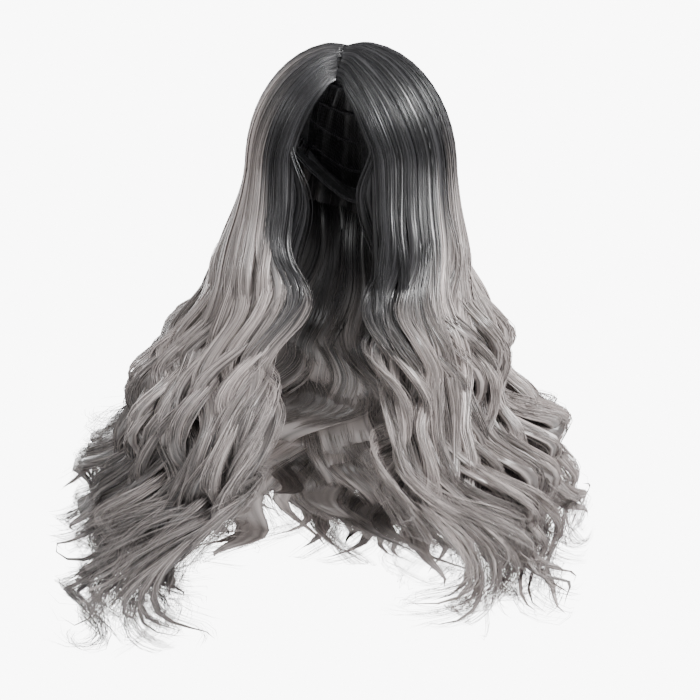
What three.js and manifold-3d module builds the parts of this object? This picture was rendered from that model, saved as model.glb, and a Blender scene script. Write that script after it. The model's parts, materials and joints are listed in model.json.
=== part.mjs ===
// A long wavy costume wig with a centre parting, as an assembly of its cap, its wefts and its locks
// of hair.
//
// Millimetres, +Z up. The wearer looks along -Y, and the wearer's left is +X. The origin is the
// centre of the head form that the cap fits. "left" and "right" are the wearer's.
//
// Each lock of hair is a plain closed body. A lock that is rooted on top of the cap is two bodies,
// a top lock that lies on the head and a fall lock that hangs from it, because the fall swings and
// the top doesn't.
import * as THREE from "three";
import { mergeVertices } from "three/addons/utils/BufferGeometryUtils.js";
import Module from "manifold-3d";

const wasm = await Module();
wasm.setup();

// ---- Driving dimensions ----

const HEAD = new THREE.Vector3(77, 97, 101); // half axes of the head form: 55 cm round
const LINING = { inner: 0.3, outer: 1.3 }; // bands, tapes and tabs, measured out from the head form
const NET = { inner: 2.2, outer: 3 };
const WEFT = { inner: 3.7, outer: 5, height: 3.4, rows: 6 };
// The parting strip. Its ends are degrees forward of the crown.
const STRIP = { inner: 3.6, outer: 4.4, halfWidth: 17, front: 44, back: -13 };
const WHORL = { inner: 3.6, outer: 4.4, radius: 6, tilt: -21 };
const HAIR_ROOT = 6.3; // the inner face of the top locks, out from the head form

// Height of the cap's edge above the origin, by azimuth from the middle of the forehead. Both sides
// are the same.
const EDGE_AZIMUTH = [0, 30, 55, 72, 92, 112, 135, 160, 180];
const EDGE_HEIGHT = [66, 60, 44, 24, 15, 1, -24, -50, -58];

// How many locks each fall has, beside each other and under those.
const LOCKS = { side: 5, back: 4 };
const UNDER_LOCKS = { side: 2, back: 3 };

// ---- Points on the head form ----

const radians = THREE.MathUtils.degToRad;
const { lerp, smoothstep, clamp } = THREE.MathUtils;
const vec = (x, y, z) => new THREE.Vector3(x, y, z);

// A direction by azimuth (0 is the forehead, 90 the left ear, 180 the nape) and latitude, in degrees.
function direction(azimuth, latitude) {
  const a = radians(azimuth);
  const l = radians(latitude);
  return vec(Math.cos(l) * Math.sin(a), -Math.cos(l) * Math.cos(a), Math.sin(l));
}

// A direction by its tilt forward of the crown along the middle of the head, and its tilt to the
// left, in degrees.
function topDirection(forward, leftward) {
  const f = radians(forward);
  const s = radians(leftward);
  return vec(Math.sin(s), -Math.sin(f) * Math.cos(s), Math.cos(f) * Math.cos(s));
}

// The point in that direction, out from the head form by offset.
function onHead(unit, offset) {
  const grown = HEAD.clone().addScalar(offset);
  return unit.clone().multiply(grown);
}

const latitudeOf = (height) => THREE.MathUtils.radToDeg(Math.asin(height / HEAD.z));

// Latitude of the cap's edge at an azimuth, by a smooth curve through the heights above.
const edgeCurve = new THREE.SplineCurve(EDGE_AZIMUTH.map((a, i) => new THREE.Vector2(a, EDGE_HEIGHT[i])));
function edgeLatitude(azimuth) {
  const around = Math.abs(((azimuth + 540) % 360) - 180);
  const last = EDGE_AZIMUTH.length - 1;
  const i = clamp(EDGE_AZIMUTH.findIndex((a) => a >= around) - 1, 0, last - 1);
  const share = (around - EDGE_AZIMUTH[i]) / (EDGE_AZIMUTH[i + 1] - EDGE_AZIMUTH[i]);
  return latitudeOf(edgeCurve.getPoint((i + share) / last).y);
}

// ---- Closed bodies ----

// A geometry from points and triangles, with coincident points merged and collapsed triangles dropped.
function closedBody(points, triangles) {
  const flat = triangles.flat().flatMap((i) => points[i].toArray());
  const merged = mergeVertices(
    new THREE.BufferGeometry().setAttribute("position", new THREE.Float32BufferAttribute(flat, 3)),
    1e-3,
  );
  const index = merged.index.array;
  const kept = [];
  for (let i = 0; i < index.length; i += 3) {
    const [a, b, c] = index.slice(i, i + 3);
    if (a !== b && b !== c && c !== a) kept.push(a, b, c);
  }
  merged.setIndex(kept);
  merged.computeVertexNormals();
  return merged;
}

// A thin body between two surfaces, each a function of u and v from 0 to 1. u runs to the left of
// v's way, seen from outside. closed joins u = 1 to u = 0, and pole brings v = 1 to one point.
function skin(inner, outer, stepsU, stepsV, { closed = false, pole = false } = {}) {
  const points = [];
  const at = (side, i, j) => side * (stepsU + 1) * (stepsV + 1) + i * (stepsV + 1) + j;
  for (const surface of [inner, outer]) {
    for (let i = 0; i <= stepsU; i++) {
      for (let j = 0; j <= stepsV; j++) {
        const u = closed && i === stepsU ? 0 : i / stepsU;
        points.push(surface(pole && j === stepsV ? 0 : u, j / stepsV));
      }
    }
  }
  const triangles = [];
  const quad = (a, b, c, d) => triangles.push([a, b, c], [a, c, d]);
  for (let i = 0; i < stepsU; i++) {
    for (let j = 0; j < stepsV; j++) {
      quad(at(1, i, j), at(1, i + 1, j), at(1, i + 1, j + 1), at(1, i, j + 1));
      quad(at(0, i, j), at(0, i, j + 1), at(0, i + 1, j + 1), at(0, i + 1, j));
    }
    quad(at(0, i, 0), at(0, i + 1, 0), at(1, i + 1, 0), at(1, i, 0));
    if (!pole) quad(at(0, i + 1, stepsV), at(0, i, stepsV), at(1, i, stepsV), at(1, i + 1, stepsV));
  }
  for (let j = 0; j < stepsV && !closed; j++) {
    quad(at(0, 0, j + 1), at(0, 0, j), at(1, 0, j), at(1, 0, j + 1));
    quad(at(0, stepsU, j), at(0, stepsU, j + 1), at(1, stepsU, j + 1), at(1, stepsU, j));
  }
  return closedBody(points, triangles);
}

// A thin body lying on the head form between two offsets. unit gives its direction at u and v.
function headSkin(unit, { inner, outer }, stepsU, stepsV, shape) {
  const surface = (offset) => (u, v) => onHead(unit(u, v), offset);
  return skin(surface(inner), surface(outer), stepsU, stepsV, shape);
}

const solidOf = (geometry) => {
  const bare = geometry.clone().deleteAttribute("normal").deleteAttribute("uv");
  const merged = mergeVertices(bare, 1e-3);
  const vertProperties = merged.attributes.position.array;
  return new wasm.Manifold(new wasm.Mesh({ numProp: 3, vertProperties, triVerts: merged.index.array }));
};

function geometryOf(solid) {
  const mesh = solid.getMesh();
  const geometry = new THREE.BufferGeometry();
  geometry.setAttribute("position", new THREE.BufferAttribute(mesh.vertProperties, 3));
  geometry.setIndex(new THREE.BufferAttribute(mesh.triVerts, 1));
  return geometry;
}

const block = (x, y, z, ...centre) => new THREE.BoxGeometry(x, y, z).translate(...centre);

// ---- Materials ----

const material = (color, roughness) => new THREE.MeshStandardMaterial({ color, roughness, metalness: 0 });
const MATERIALS = {
  hair: material(0x8f8a88, 0.45),
  darkHair: material(0x45454a, 0.4),
  lining: material(0x59595b, 0.9),
  net: material(0x4b4b4d, 0.95),
  elastic: material(0x4d4d50, 0.85),
  stay: material(0xd8d5cf, 0.4),
};

const wig = new THREE.Group();
function add(name, geometry, finish, parent = wig) {
  const mesh = new THREE.Mesh(geometry, MATERIALS[finish]);
  mesh.name = name;
  parent.add(mesh);
  return mesh;
}

// ---- Cap: the net and what is sewn to it ----

const NET_STEPS = { around: 44, up: 12 };
const BAND_WIDTH = 10; // degrees of latitude
const BAND_HEM = 0.7; // from the net's edge to a band's edge, in degrees
const FRONT_BAND = 60; // half of its azimuth
const NAPE_BAND = { from: 116, to: 244 };

// Latitude at a height above the cap's edge, in degrees.
const aboveEdge = (azimuth, degrees) => edgeLatitude(azimuth) + degrees;

const netDirection = (u, v) => direction(360 * u, lerp(edgeLatitude(360 * u), 90, v));
add(
  "net_cap",
  headSkin(netDirection, NET, NET_STEPS.around, NET_STEPS.up, { closed: true, pole: true }),
  "net",
);

function band(from, to, steps) {
  const unit = (u, v) => {
    const azimuth = lerp(from, to, u);
    return direction(azimuth, aboveEdge(azimuth, BAND_HEM + BAND_WIDTH * v));
  };
  return headSkin(unit, LINING, steps, 2);
}
add("front_band", band(-FRONT_BAND, FRONT_BAND, 18), "lining");
add("nape_band", band(NAPE_BAND.from, NAPE_BAND.to, 18), "elastic");

// An ear tab is a tongue in front of the ear that narrows to a round end.
const TAB = { azimuth: 77, halfWidth: 14, top: 22, bottom: -28 };
const STAY = { inner: -0.9, outer: 0, halfWidth: 1.3, top: 14, bottom: -22 };
function tongue(side, { azimuth, halfWidth, top, bottom }, roundness) {
  return (u, v) => {
    const width = halfWidth * Math.sqrt(1 - roundness * Math.pow(1 - v, 4));
    return direction(side * azimuth + width * (2 * u - 1), latitudeOf(lerp(bottom, top, v)));
  };
}
for (const [name, side] of [["left", 1], ["right", -1]]) {
  add(`${name}_ear_tab`, headSkin(tongue(side, TAB, 0.75), LINING, 5, 7), "lining");
  add(`${name}_tab_stay`, headSkin(tongue(side, { ...TAB, ...STAY }, 0.3), STAY, 2, 6), "stay");
}

// Three tapes run from the crown to the nape band and carry the wefts.
const TAPE = { halfAngle: 3.8, top: 66, foot: BAND_HEM + BAND_WIDTH + 1 };
for (const [name, azimuth] of [["left", 126], ["centre", 180], ["right", 234]]) {
  const unit = (u, v) => {
    const foot = aboveEdge(azimuth + TAPE.halfAngle * (2 * u - 1), TAPE.foot);
    const latitude = lerp(foot, TAPE.top, v);
    const half = Math.min(TAPE.halfAngle / Math.cos(radians(latitude)), 3 * TAPE.halfAngle);
    return direction(azimuth + half * (2 * u - 1), latitude);
  };
  add(`${name}_back_tape`, headSkin(unit, LINING, 2, 8), "elastic");
}

// The strip under the parting, to which the top hair is knotted, and the disc that closes the crown.
const stripHalf = THREE.MathUtils.radToDeg(Math.asin(STRIP.halfWidth / HEAD.x));
const stripDirection = (u, v) => {
  return topDirection(lerp(STRIP.front, STRIP.back, v), stripHalf * (2 * u - 1));
};
add("parting_strip", headSkin(stripDirection, STRIP, 4, 9), "lining");
const whorlTilt = THREE.MathUtils.radToDeg(WHORL.radius / HEAD.z);
add(
  "crown_whorl",
  headSkin(
    (u, v) => {
      const turn = 2 * Math.PI * u;
      return topDirection(
        WHORL.tilt + (1 - v) * whorlTilt * Math.cos(turn),
        (1 - v) * whorlTilt * Math.sin(turn),
      );
    },
    WHORL,
    16,
    2,
    { closed: true, pole: true },
  ),
  "lining",
);

// Wefts: rows of machine-sewn hair, from ear to ear round the back, one above the other.
const WEFT_SPAN = { from: 66, to: 294, lowest: 5, highest: 60 };
for (let row = 0; row < WEFT.rows; row++) {
  const rise = row / (WEFT.rows - 1);
  const unit = (u, v) => {
    const azimuth = lerp(WEFT_SPAN.from, WEFT_SPAN.to, u);
    const latitude = lerp(aboveEdge(azimuth, WEFT_SPAN.lowest), WEFT_SPAN.highest, rise);
    const half = THREE.MathUtils.radToDeg(WEFT.height / 2 / HEAD.z);
    return direction(azimuth, latitude + half * (2 * v - 1));
  };
  add(`weft_row_${row + 1}`, headSkin(unit, WEFT, 22, 1), "darkHair");
}

// ---- Adjusters: an elastic strap with a hook that threads a ladder of loops beside each ear ----

const LADDER = { length: 26, width: 13, thickness: 0.9 };
const LOOP = { count: 4, spacing: 6.4, length: 2.2, width: 11, tunnel: 8, height: 2.6, clear: 1.8 };
// The chord that the ladder lies on, by azimuth.
const LADDER_LINE = { from: 132, to: 107, above: 8.5, offset: -0.9 };
// lift is from the ladder's back to the tongue.
const HOOK = { tongue: 22, width: 6, thickness: 1, lift: 1.4 };
const BUCKLE = { length: 7, width: 10, thickness: 1.8, slot: 2 };
const STRAP = { thickness: 0.9, halfWidth: 3.2, hookEnd: -3.2, sewnEnd: -0.9, sewnAt: 168 };

// The ladder's own frame: x runs towards the ear and z towards the head, from the middle of its back.
function ladderFrame(side) {
  const end = (azimuth) => {
    return onHead(direction(side * azimuth, aboveEdge(azimuth, LADDER_LINE.above)), LADDER_LINE.offset);
  };
  const tail = end(LADDER_LINE.from);
  const x = end(LADDER_LINE.to).sub(tail);
  const reach = x.length();
  x.normalize();
  const inward = tail.clone().addScaledVector(x, reach / 2).negate();
  const z = inward.addScaledVector(x, -inward.dot(x)).normalize();
  const y = z.clone().cross(x);
  const middle = tail.addScaledVector(x, reach - LADDER.length / 2);
  return new THREE.Matrix4().makeBasis(x, y, z).setPosition(middle);
}

function ladder() {
  const { length, width, thickness } = LADDER;
  let body = solidOf(block(length, width, thickness, 0, 0, thickness / 2));
  for (let i = 0; i < LOOP.count; i++) {
    const x = (i - (LOOP.count - 1) / 2) * LOOP.spacing;
    const archMiddle = thickness + LOOP.height / 2 - 0.05;
    const holeMiddle = thickness + LOOP.clear / 2;
    const arch = solidOf(block(LOOP.length, LOOP.width, LOOP.height, x, 0, archMiddle));
    const hole = solidOf(block(LOOP.length * 2, LOOP.tunnel, LOOP.clear, x, 0, holeMiddle));
    body = body.add(arch.subtract(hole));
  }
  return geometryOf(body);
}

// The hook is a flat tongue with a round tip, on a buckle with a slot for the strap.
function hook() {
  const half = HOOK.width / 2;
  const outline = new THREE.Shape();
  outline.moveTo(-HOOK.tongue - 1, -half);
  outline.absarc(-half, 0, half, -Math.PI / 2, Math.PI / 2);
  outline.lineTo(-HOOK.tongue - 1, half);
  const flat = { depth: HOOK.thickness, bevelEnabled: false, curveSegments: 8 };
  const tongueBody = new THREE.ExtrudeGeometry(outline, flat).translate(0, 0, HOOK.lift);
  const x = -HOOK.tongue - BUCKLE.length / 2;
  const z = HOOK.lift + HOOK.thickness / 2;
  const buckle = solidOf(block(BUCKLE.length, BUCKLE.width, BUCKLE.thickness, x, 0, z));
  const slot = solidOf(block(BUCKLE.slot, BUCKLE.width - 3, BUCKLE.thickness * 2, x - 1, 0, z));
  return geometryOf(solidOf(tongueBody).add(buckle.subtract(slot)));
}

// The strap runs from behind the hook's buckle to the nape band, where it is sewn.
function strap(side, start) {
  const unit = start.clone().divide(HEAD).normalize();
  const from = THREE.MathUtils.radToDeg(Math.atan2(Math.abs(unit.x), -unit.y));
  const latitude = { from: THREE.MathUtils.radToDeg(Math.asin(unit.z)), to: aboveEdge(STRAP.sewnAt, 6) };
  const half = THREE.MathUtils.radToDeg(STRAP.halfWidth / HEAD.z);
  const surface = (thickness) => (u, v) => {
    const along = side > 0 ? u : 1 - u;
    const middle = lerp(latitude.from, latitude.to, along);
    const offset = lerp(STRAP.hookEnd, STRAP.sewnEnd, smoothstep(along, 0.3, 1)) + thickness;
    return onHead(direction(side * lerp(from, STRAP.sewnAt, along), middle + half * (2 * v - 1)), offset);
  };
  return skin(surface(0), surface(STRAP.thickness), 8, 1);
}

for (const [name, side] of [["left", 1], ["right", -1]]) {
  const frame = ladderFrame(side);
  const strapStart = vec(-HOOK.tongue - BUCKLE.length - 1, 0, HOOK.lift + HOOK.thickness / 2);
  add(`${name}_loop_ladder`, ladder().applyMatrix4(frame), "elastic");
  add(`${name}_adjuster_hook`, hook().applyMatrix4(frame), "stay");
  add(`${name}_adjuster_strap`, strap(side, strapStart.applyMatrix4(frame)), "elastic");
}

// ---- Hair ----

// A fall is all the hair of one side, or of the back. s runs across it, from the front to the rear
// of a side and from left to right at the back. t runs down it: 0 at the roots, 1 where it leaves
// the head, 2 at the tips. d runs through it, from 0 at its inner face to 1 at its outer face, and
// on to -1 for the hair underneath.
//   root(s), leave(s)  directions on the head form
//   flare              how far out it has swung where it stops falling straight, at s = 0, 0.5 and 1
//   bend, tips         points at s = 0, 0.5 and 1 that draw the hanging hair's curve, and its ends
//   facing             azimuths that the outer face looks towards at the tips, for s = 0 and 1
//   depth              its thickness: at the roots, then where it leaves and at the tips, each for
//                      s = 0, 0.5 and 1
//   wave               turns, sizes across and outward, and phase of the waves
const PARTING = { front: 46, crown: -14, leftward: 1.6 };
const CROWN_RING = { tilt: -21, radius: 4.5, from: 60, to: 300 };

function sideFall(side, { near, flare, bend, tips, wave }) {
  const mirrored = (points) => points.map(([x, y, z]) => vec(side * x, y, z));
  return {
    side,
    root: (s) => {
      const forward = lerp(PARTING.front, PARTING.crown, Math.pow(s, 0.9));
      return topDirection(forward, side * PARTING.leftward);
    },
    leave: (s) => direction(side * lerp(near, 128.5, s), lerp(-8, -11, s)),
    flare,
    bend: mirrored(bend),
    tips: mirrored(tips),
    facing: [side * 6, side * 74],
    depth: { root: 5, leave: [12, 34, 30], tips: [22, 40, 40] },
    wave,
  };
}

const FALLS = {
  left: sideFall(1, {
    near: 28,
    flare: [0, 10, 14],
    bend: [[4, -122, -300], [136, -84, -320], [168, 54, -270]],
    tips: [[100, -116, -420], [182, -96, -520], [266, 54, -440]],
    wave: { turns: 3.1, across: 15, out: 12, phase: 0.3 },
  }),
  right: sideFall(-1, {
    near: 35,
    flare: [0, 24, 40],
    bend: [[-4, -122, -250], [196, -84, -300], [280, 50, -255]],
    tips: [[122, -114, -440], [216, -96, -556], [306, 52, -430]],
    wave: { turns: 2.8, across: 14, out: 11, phase: 0.05 },
  }),
  back: {
    side: 1,
    root: (s) => {
      const turn = radians(lerp(CROWN_RING.from, CROWN_RING.to, s));
      const { tilt, radius } = CROWN_RING;
      return topDirection(tilt + radius * Math.cos(turn), radius * Math.sin(turn));
    },
    leave: (s) => direction(lerp(131.5, 228.5, s), lerp(-26, -13, Math.abs(2 * s - 1))),
    flare: [10, 0, 34],
    bend: [vec(154, 100, -300), vec(0, 138, -320), vec(-226, 98, -285)],
    tips: [vec(226, 104, -445), vec(0, 150, -500), vec(-276, 98, -440)],
    facing: [134, 226],
    depth: { root: 5, leave: [28, 24, 28], tips: [36, 32, 36] },
    wave: { turns: 2.9, across: 13, out: 10, phase: 0.7 },
  },
};

// A smooth value at s through three values at s = 0, 0.5 and 1.
const share3 = (s) => [(1 - s) * (1 - 2 * s), 4 * s * (1 - s), s * (2 * s - 1)];
const number3 = (values, s) => share3(s).reduce((sum, share, i) => sum + share * values[i], 0);
const point3 = (points, s) => {
  return share3(s).reduce((sum, share, i) => sum.addScaledVector(points[i], share), vec(0, 0, 0));
};

// Hair lying on the head follows the great circle from its root to where it leaves.
function headPoint(fall, s, d, t) {
  const root = fall.root(s);
  const turn = new THREE.Quaternion().setFromUnitVectors(root, fall.leave(s));
  const unit = root.applyQuaternion(new THREE.Quaternion().slerp(turn, t));
  return onHead(unit, HAIR_ROOT + d * lerp(fall.depth.root, number3(fall.depth.leave, s), t));
}

// Hanging hair follows a curve from there to the tips, with waves that grow on the way. Hair
// underneath starts thin, because the head is in its way.
const DROP = 105; // how far down the curve still keeps the direction in which the hair left the head
const WAVE_SHIFT = 0.55; // turns between s = 0 and s = 1
const WAVE_GROWTH = { from: 0.12, to: 0.6 };
function hangingPoint(fall, s, d, t) {
  const h = t - 1;
  const leaving = headPoint(fall, s, Math.max(d, 0), 1);
  const inward = fall.leave(s).setZ(0).normalize();
  leaving.addScaledVector(inward, Math.min(d, 0) * 26 * smoothstep(h, 0.02, 0.3));
  const azimuth = radians(lerp(...fall.facing, s));
  const outward = vec(Math.sin(azimuth), -Math.cos(azimuth), 0);
  const across = vec(Math.cos(azimuth), Math.sin(azimuth), 0);
  const depth = number3(fall.depth.tips, s);
  const bend = point3(fall.bend, s).addScaledVector(outward, d * depth);
  const tip = point3(fall.tips, s).addScaledVector(outward, d * depth);
  const below = leaving.clone().addScaledVector(outward, number3(fall.flare, s));
  below.z -= DROP;
  const curve = new THREE.CubicBezierCurve3(leaving, below, bend, tip);
  const angle = 2 * Math.PI * (fall.wave.turns * h + fall.wave.phase + WAVE_SHIFT * s);
  const growth = smoothstep(h, WAVE_GROWTH.from, WAVE_GROWTH.to);
  return curve
    .getPoint(h)
    .addScaledVector(across, fall.wave.across * growth * Math.sin(angle))
    .addScaledVector(outward, fall.wave.out * growth * Math.cos(angle));
}

const hairPoint = (fall, s, d, t) => (t <= 1 ? headPoint : hangingPoint)(fall, s, d, t);

// A lock fills a cell of its fall in s and d. It is a row of rounded rings, each at a t and with a
// size as a share of the cell, and a point beyond the rings at both ends.
const RING_POINTS = 10;
const ROUNDNESS = 0.55; // 1 would give elliptic rings, 0 square ones
function lock(fall, cell, rings, ends) {
  const middle = (range) => (range[0] + range[1]) / 2;
  const half = (range) => (range[1] - range[0]) / 2;
  const at = (angle, size, t) => {
    const rounded = (value) => Math.sign(value) * Math.pow(Math.abs(value), ROUNDNESS);
    const s = middle(cell.s) + half(cell.s) * size * rounded(Math.cos(angle));
    const d = middle(cell.d) + half(cell.d) * size * rounded(Math.sin(angle));
    return hairPoint(fall, s, d, t);
  };
  const points = [at(0, 0, ends[0])];
  const turn = (fall.side * 2 * Math.PI) / RING_POINTS;
  for (const [t, size] of rings) {
    for (let i = 0; i < RING_POINTS; i++) points.push(at(i * turn, size, t));
  }
  points.push(at(0, 0, ends[1]));
  const triangles = [];
  const ringPoint = (ring, i) => 1 + ring * RING_POINTS + (i % RING_POINTS);
  for (let i = 0; i < RING_POINTS; i++) {
    triangles.push([0, ringPoint(0, i + 1), ringPoint(0, i)]);
    for (let ring = 0; ring < rings.length - 1; ring++) {
      const [a, b] = [ringPoint(ring, i), ringPoint(ring, i + 1)];
      const [c, e] = [ringPoint(ring + 1, i + 1), ringPoint(ring + 1, i)];
      triangles.push([a, b, c], [a, c, e]);
    }
    const last = rings.length - 1;
    triangles.push([points.length - 1, ringPoint(last, i), ringPoint(last, i + 1)]);
  }
  return closedBody(points, triangles);
}

const TOP_ROOT = [[0.04, 0.7], [0.07, 0.95]];
const TOP_END = [[0.975, 1], [0.988, 0.85]];
const TOP_RINGS = 9;
const FALL_START = [[1.005, 0.85], [1.016, 1]];
const FALL_RINGS = 16;
const UNDER_START = 1.1;

// Rings down the hanging hair, each a little narrower, to a thin tip at t = end.
function fallRings(start, end) {
  const rings = [];
  for (let i = 0; i < FALL_RINGS; i++) {
    const along = i / (FALL_RINGS - 1);
    const size = 1 - 0.12 * along - 0.42 * Math.pow(along, 7);
    rings.push([lerp(start, end, along), size]);
  }
  return rings;
}

// Rings over the head.
function topRings() {
  const rings = [...TOP_ROOT];
  for (let i = 0; i < TOP_RINGS; i++) rings.push([lerp(0.12, 0.93, i / (TOP_RINGS - 1)), 1]);
  return [...rings, ...TOP_END];
}

// How far each lock of a fall reaches, as a share of the fall's own length.
const REACH = { upper: [0.9, 1, 0.95, 1, 0.93], under: [0.86, 0.94, 0.88] };
const CELL_GAP = 0.025; // of the fall's width

for (const [name, fall] of Object.entries(FALLS)) {
  const count = name === "back" ? LOCKS.back : LOCKS.side;
  const under = name === "back" ? UNDER_LOCKS.back : UNDER_LOCKS.side;
  for (let i = 0; i < count; i++) {
    const cell = { s: [(i + CELL_GAP) / count, (i + 1 - CELL_GAP) / count], d: [0, 1] };
    const end = 1 + REACH.upper[i];
    const hanging = [...FALL_START, ...fallRings(1.06, end - 0.02)];
    add(`${name}_top_lock_${i + 1}`, lock(fall, cell, topRings(), [0.02, 0.993]), "darkHair");
    add(`${name}_fall_lock_${i + 1}`, lock(fall, cell, hanging, [1.002, end]), "hair");
  }
  for (let i = 0; i < under; i++) {
    const cell = { s: [(i + CELL_GAP) / under, (i + 1 - CELL_GAP) / under], d: [-1, -0.1] };
    const end = 1 + REACH.under[i];
    const rings = [[UNDER_START + 0.01, 0.6], ...fallRings(UNDER_START + 0.04, end - 0.03)];
    add(`${name}_under_lock_${i + 1}`, lock(fall, cell, rings, [UNDER_START, end]), "hair");
  }
}

export default wig;
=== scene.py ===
"""The look of a long wavy costume wig with a centre parting, grown on the locks of its CAD frame.

Metres, +Z up, the wearer looks along -Y. Every lock of the frame is a row of rings. The rings give the
lock's middle line and its two half widths. Masses of hair follow those from the parting to the tips, each
with fine strands on it. The cap's pieces are made from the frame's thin solids.
"""

import json
import math

import bmesh
import bpy
import numpy as np
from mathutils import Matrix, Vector


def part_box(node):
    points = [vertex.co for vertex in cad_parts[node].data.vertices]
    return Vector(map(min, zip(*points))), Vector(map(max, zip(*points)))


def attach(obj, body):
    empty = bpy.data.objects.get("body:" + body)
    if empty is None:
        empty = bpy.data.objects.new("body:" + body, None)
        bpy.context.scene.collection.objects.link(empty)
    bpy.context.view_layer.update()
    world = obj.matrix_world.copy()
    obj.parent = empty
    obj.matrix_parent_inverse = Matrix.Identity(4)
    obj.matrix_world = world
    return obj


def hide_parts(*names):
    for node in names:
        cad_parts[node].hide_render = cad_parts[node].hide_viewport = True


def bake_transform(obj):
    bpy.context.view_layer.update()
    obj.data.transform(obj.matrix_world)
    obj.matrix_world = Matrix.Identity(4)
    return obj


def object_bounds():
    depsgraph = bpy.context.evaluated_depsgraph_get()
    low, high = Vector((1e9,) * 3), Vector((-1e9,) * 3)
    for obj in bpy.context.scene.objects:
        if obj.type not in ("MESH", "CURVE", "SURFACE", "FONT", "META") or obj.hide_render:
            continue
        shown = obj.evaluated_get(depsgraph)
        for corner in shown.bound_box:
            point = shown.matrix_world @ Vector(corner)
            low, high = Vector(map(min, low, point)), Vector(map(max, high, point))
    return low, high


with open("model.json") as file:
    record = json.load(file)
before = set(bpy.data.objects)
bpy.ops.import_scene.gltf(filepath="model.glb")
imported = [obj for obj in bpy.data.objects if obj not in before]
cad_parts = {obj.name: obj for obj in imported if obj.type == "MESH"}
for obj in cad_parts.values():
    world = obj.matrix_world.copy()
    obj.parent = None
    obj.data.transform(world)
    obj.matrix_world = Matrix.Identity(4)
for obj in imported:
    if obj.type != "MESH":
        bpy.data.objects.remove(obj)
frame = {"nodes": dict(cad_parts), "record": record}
CAD_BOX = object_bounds()

rng = np.random.default_rng(28)

# ---- Reading the frame's locks ----

CROWN_LIFT = 0.004  # from the top of the crown whorl up to where its hair comes out
CROWN_MARGIN = 0.001
low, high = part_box("crown_whorl")
CROWN = np.array([(low.x + high.x) / 2, (low.y + high.y) / 2, high.z + CROWN_LIFT])
CROWN_BACK = low.y - CROWN_MARGIN  # hair that is rooted behind this comes out of the crown

RING = 10  # corners of each ring of a CAD lock
ROUNDNESS = 0.55  # of those rings: 1 would be an ellipse
UP = np.array([0.0, 0.0, 1.0])
TAU = 2 * np.pi


def unit(v):
    """v, or each row of v, at length 1."""
    return v / np.maximum(np.linalg.norm(v, axis=-1, keepdims=True), 1e-12)


def smoothstep(x, low, high):
    """0 up to low, 1 from high on, and a smooth rise between them."""
    t = np.clip((x - low) / (high - low), 0, 1)
    return t * t * (3 - 2 * t)


def merged(points, cells_per_metre):
    """Where each distinct point first comes, and which of the distinct points each point is."""
    cells = np.round(points * cells_per_metre).astype(int)
    _, first, same = np.unique(cells, axis=0, return_index=True, return_inverse=True)
    return first, same.ravel()


def triangles_of(name):
    """The distinct corners of a CAD node, and its triangles."""
    mesh = frame["nodes"][name].data
    places = np.empty(len(mesh.vertices) * 3)
    mesh.vertices.foreach_get("co", places)
    places = places.reshape(-1, 3)
    first, same = merged(places, 1e6)
    mesh.calc_loop_triangles()
    corners = np.empty(len(mesh.loop_triangles) * 3, dtype=np.int32)
    mesh.loop_triangles.foreach_get("vertices", corners)
    triangles = same[corners].reshape(-1, 3)
    keep = (triangles[:, 0] != triangles[:, 1]) & (triangles[:, 1] != triangles[:, 2])
    return places[first], triangles[keep & (triangles[:, 2] != triangles[:, 0])]


def rings_of(name):
    """The point at a CAD lock's root, its rings with their corners in step, and the point at its tip."""
    points, triangles = triangles_of(name)
    near = [set() for _ in points]
    for a, b, c in triangles:
        near[a].update((b, c))
        near[b].update((a, c))
        near[c].update((a, b))
    ends = [i for i, others in enumerate(near) if len(others) == RING]
    ends.sort(key=lambda i: -points[i][2])
    root, tip = ends[0], ends[-1]
    depth = {root: 0}
    row = [root]
    while row:
        following = []
        for i in row:
            for j in near[i]:
                if j not in depth:
                    depth[j] = depth[i] + 1
                    following.append(j)
        row = following
    after = {}
    for face in triangles:
        if root in face:
            turned = np.roll(face, -int(np.argmax(face == root)))
            after[turned[2]] = turned[1]
    rings = [[next(iter(after))]]
    while len(rings[0]) < RING:
        rings[0].append(after[rings[0][-1]])
    levels = np.array([depth[i] for i in range(len(points))])
    for level in range(1, levels[tip] - 1):
        column = {corner: i for i, corner in enumerate(rings[-1])}
        ring = [None] * RING
        for face in triangles:
            deeper = levels[face] == level + 1
            if deeper.sum() == 1 and (levels[face] == level).sum() == 2:
                turned = np.roll(face, 2 - int(np.argmax(deeper)))
                ring[column[turned[1]]] = turned[2]
        rings.append(ring)
    return points[root], points[np.array(rings)], points[tip]


def half_widths(rings, outward):
    """The vectors from each ring's middle to its rim, along the fall and out through it, and the middles."""
    angle = TAU * np.arange(RING) / RING
    share = 2 / RING * np.sum(np.abs(np.cos(angle)) ** (1 + ROUNDNESS))
    middle = rings.mean(axis=1)
    relative = rings - middle[:, None]
    cosine = np.einsum("i,kij->kj", np.cos(angle), relative) * 2 / RING / share
    sine = np.einsum("i,kij->kj", np.sin(angle), relative) * 2 / RING / share
    turns = [-cosine * math.sin(a) + sine * math.cos(a) for a in angle]
    best = int(np.argmax([np.sum(unit(turn[:3]) * outward) for turn in turns]))
    along = cosine * math.cos(angle[best]) + sine * math.sin(angle[best])
    return along, turns[best], middle


def reach_along(line):
    """How far along a line of points each one is."""
    return np.concatenate([[0], np.cumsum(np.linalg.norm(np.diff(line, axis=0), axis=1))])


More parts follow.
